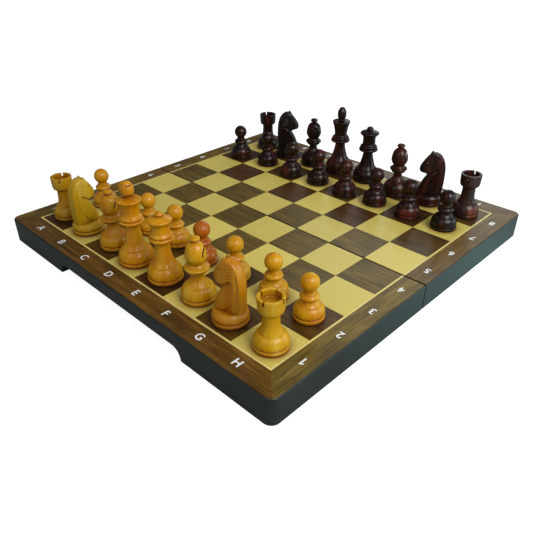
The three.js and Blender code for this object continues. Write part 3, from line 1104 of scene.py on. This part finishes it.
def leaf_and_knuckles(first):
    """The plate of a leaf with every second knuckle, counted from the first."""
    end = HINGE_LENGTH / MM / 2
    pitch = 2 * end / KNUCKLES
    length = pitch - KNUCKLE_GAP
    parts = [block("leaf", (-end, LEAF_EDGES[0], LEAF_BOTTOM), (end, LEAF_EDGES[1], LEAF_TOP))]
    lay = Matrix.Rotation(math.pi / 2, 4, "Y")
    for i in range(first, KNUCKLES, 2):
        start = -end + i * pitch + KNUCKLE_GAP / 2
        low = (start, LEAF_EDGES[1] - 0.5, LEAF_BOTTOM)
        parts.append(block("tab", low, (start + length, -BORE_RADIUS - 0.1, LEAF_TOP)))
        barrel = knuckle(length)
        barrel.transform(Matrix.Translation((start, 0, HINGE_AXIS_Z / MM)) @ lay)
        parts.append(barrel)
    return parts


def screw_hole(place):
    hole = turned("hole", [(2.1, -0.5), (2.1, 0.05), (0.9, 1.25)], segments=32)
    hole.transform(Matrix.Translation(place))
    return hole


def hinge_leaf(half, side, first):
    """A leaf and its screws, drawn for the front half."""
    mesh = combined(leaf_and_knuckles(first), [screw_hole(place) for place in SCREW_PLACES])
    x = HINGE_X[side] if half == "front" else -HINGE_X[side]
    node_side = side if half == "front" else OTHER_SIDE[side]
    mesh = smoothed(in_metres(mesh, (x, 0, 0)))
    part_of(half, mesh.name, mesh, "brass", node_side + "_hinge_leaf")
    hinge_screws(half, x)


def hinge_screws(half, x):
    """Three countersunk screws, each with its slot turned its own way."""
    for place in SCREW_PLACES:
        head = turned("head", [(1.95, 0.1), (0.8, 1.15), (0.8, 5), (0, 6.5)], segments=32)
        slot = block("slot", (-3, -0.22, -0.5), (3, 0.22, 0.5))
        slot.transform(Matrix.Rotation(dice.uniform(0, math.pi), 4, "Z"))
        mesh = combined([head], [slot])
        mesh.transform(Matrix.Translation(place))
        mesh = smoothed(in_metres(mesh, (x, 0, 0)))
        part_of(half, mesh.name, mesh, "brass")


def hinge_pin(side):
    pin = rod("pin", PIN_RADIUS, HINGE_LENGTH / MM, 0.2, segments=32)
    pin.transform(Matrix.Rotation(math.pi / 2, 4, "Y"))
    pin = smoothed(in_metres(pin, (HINGE_X[side] - HINGE_LENGTH / 2, 0, HINGE_AXIS_Z)))
    piece(side + "_hinge_pin_brass", pin, "front_half", "brass", [side + "_hinge_pin"])


def magnet(half, side):
    node = f"{half}_{side}_magnet"
    radius, height = disc_size(node)
    inset = 0.02
    disc = rod("magnet", radius, height - inset, 0.25, segments=48)
    disc.transform(Matrix.Translation((0, 0, inset)))
    disc = smoothed(in_metres(disc, foot_of(node)))
    piece(node + "_disc", disc, half + "_half", "magnet_steel", [node])


def hardware():
    for side in ("left", "right"):
        hinge_pin(side)
        for half, first in (("front", 0), ("back", 1)):
            hinge_leaf(half, side, first)
            magnet(half, side)


# ---- Stage ----

# Where the camera stands, from the centre of the board's top, and which way it looks.
CAMERA_OFFSET = Vector((0.3752, -0.3818, 0.2712))
CAMERA_AZIMUTH = math.radians(44.60)
CAMERA_ELEVATION = math.radians(32.08)
CAMERA_ROLL = math.radians(-0.33)
CAMERA_LENS = 37.92


def back_towards(azimuth, elevation):
    """The direction from the object to a viewer. Azimuth 0 is -Y and 90 degrees is +X."""
    flat = math.cos(elevation)
    return Vector((math.sin(azimuth) * flat, -math.cos(azimuth) * flat, math.sin(elevation)))


def camera():
    data = bpy.data.cameras.new("camera")
    data.lens = CAMERA_LENS
    data.clip_start = 0.01
    obj = placed("camera", data)
    back = back_towards(CAMERA_AZIMUTH, CAMERA_ELEVATION)
    aim = (-back).to_track_quat("-Z", "Y").to_matrix().to_4x4()
    place = Vector((0, 0, TOP)) + CAMERA_OFFSET
    obj.matrix_world = Matrix.Translation(place) @ aim @ Matrix.Rotation(CAMERA_ROLL, 4, "Z")
    bpy.context.scene.camera = obj


def softbox(name, azimuth, elevation, distance, size, watts, colour=(1, 1, 1)):
    """A square lamp that faces the board."""
    data = bpy.data.lights.new(name, "AREA")
    data.size = size
    data.energy = watts
    data.color = colour
    obj = placed(name, data)
    back = back_towards(math.radians(azimuth), math.radians(elevation))
    obj.location = back * distance
    obj.rotation_mode = "QUATERNION"
    obj.rotation_quaternion = (-back).to_track_quat("-Z", "Y")


def surroundings(fill, mirrored):
    """A white room: the camera sees pure white, and the object is lit by a dimmer share of it.

    The lacquer mirrors less of it still, as it would in a room with dark walls above the table.
    """
    world = bpy.data.worlds.new("studio")
    bpy.context.scene.world = world
    world.use_nodes = True
    world.node_tree.nodes.remove(world.node_tree.nodes["Background"])
    g = Graph(world.node_tree)
    strength = g.between(g.add("LightPath", {}, "Is Glossy Ray"), 0, 1, fill, mirrored)
    lighting = g.add("Background", {"Color": (0.97, 0.985, 1), "Strength": strength})
    seen = g.add("Background", {"Color": (1, 1, 1)})
    either = g.add("MixShader", {0: g.add("LightPath", {}, "Is Camera Ray"), 1: lighting, 2: seen})
    g.feed(world.node_tree.nodes["World Output"].inputs[0], either)


def pale_floor():
    """The camera sees the floor as bright as the room. The lacquer mirrors it dimmer and bluer."""
    f = Finish("pale_floor")
    seen = f.add("LightPath", {}, "Is Camera Ray")
    mottle = f.noise(f.place(), 0.15, detail=4)
    colour = f.ramp(mottle, [(0.3, (0.9, 0.9, 0.9)), (0.7, (0.93, 0.93, 0.93))])
    far = f.add("SeparateXYZ", {0: f.add("NewGeometry", {}, "Position")}, "Y")
    far = f.between(far, -SIDE, 1.5 * SIDE, 0, 1)
    blue, grey = (0.45, 0.75, 0.75), (0.3, 0.35, 0.35)
    mirrored = f.ramp(far, [(0.15, (0.22, 0.25, 0.25)), (0.7, blue), (0.88, grey)])
    colour = f.mix(seen, mirrored, f.scaled(colour, (0.3, 0.3, 0.3)))
    f.set(base_color=colour, roughness=0.9, specular_ior_level=0.0)
    f.set(emission_color=(1, 1, 1), emission_strength=f.dimmed(seen, 0.9))
    return f.material


def floor():
    reach = 8
    mesh = block("floor", (-reach, -reach, -0.02), (reach, reach, -0.0002))
    mesh.materials.append(pale_floor())
    obj = placed("floor", mesh)
    return obj


def keep_below(obj):
    """Makes the floor sink, so that it stays under the half that folds down and its king."""
    king_low, king_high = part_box("dark_king")
    lowest = {
        "far_rim": ((0, SIDE, 0), "back_half"),
        "far_edge": ((0, SIDE, TOP), "back_half"),
        "king_top": ((king_low.x, king_low.y, king_high.z), "dark_king"),
    }
    driver = obj.driver_add("location", 2).driver
    driver.type = "SCRIPTED"
    for name, (place, body) in lowest.items():
        point = placed(name, None)
        point.location = place
        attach(point, body)
        variable = driver.variables.new()
        variable.name = name
        variable.type = "TRANSFORMS"
        variable.targets[0].id = point
        variable.targets[0].transform_type = "LOC_Z"
        variable.targets[0].transform_space = "WORLD_SPACE"
    driver.expression = "min(0, min(far_rim, min(far_edge, king_top)))"


def studio():
    bpy.context.scene.view_settings.view_transform = "Standard"
    surroundings(fill=0.38, mirrored=0.12)
    softbox("key", azimuth=83, elevation=40, distance=1.3, size=0.8, watts=14)
    softbox("front", azimuth=10, elevation=35, distance=1.6, size=0.9, watts=3)
    softbox("back", azimuth=203, elevation=33, distance=1.6, size=0.8, watts=2.4)
    softbox("window", azimuth=196, elevation=20, distance=1.6, size=0.7, watts=1.2, colour=(0.75, 0.97, 1))
    softbox("side", azimuth=135, elevation=10, distance=1.5, size=0.9, watts=6, colour=(0.75, 0.96, 1))
    keep_below(floor())
    camera()


# ---- Everything in its place ----


def board():
    for half in HALVES:
        case(half)
        squares(half, "dark", "walnut_veneer")
        squares(half, "light", "maple_veneer")
        stringing(half)
        border(half)
        tray_lining(half)
        for node, finish in (("hinge_rail", "black_lacquer"), ("top_panel", "plywood")):
            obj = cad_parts[f"{half}_{node}"]
            obj.data.materials.clear()
            obj.data.materials.append(MATERIALS[finish])
            ease_edges(obj, LACQUER_EDGE / 2)
    printed_coordinates()


board()
hardware()
army("light", "boxwood")
army("dark", "rosewood")
studio()
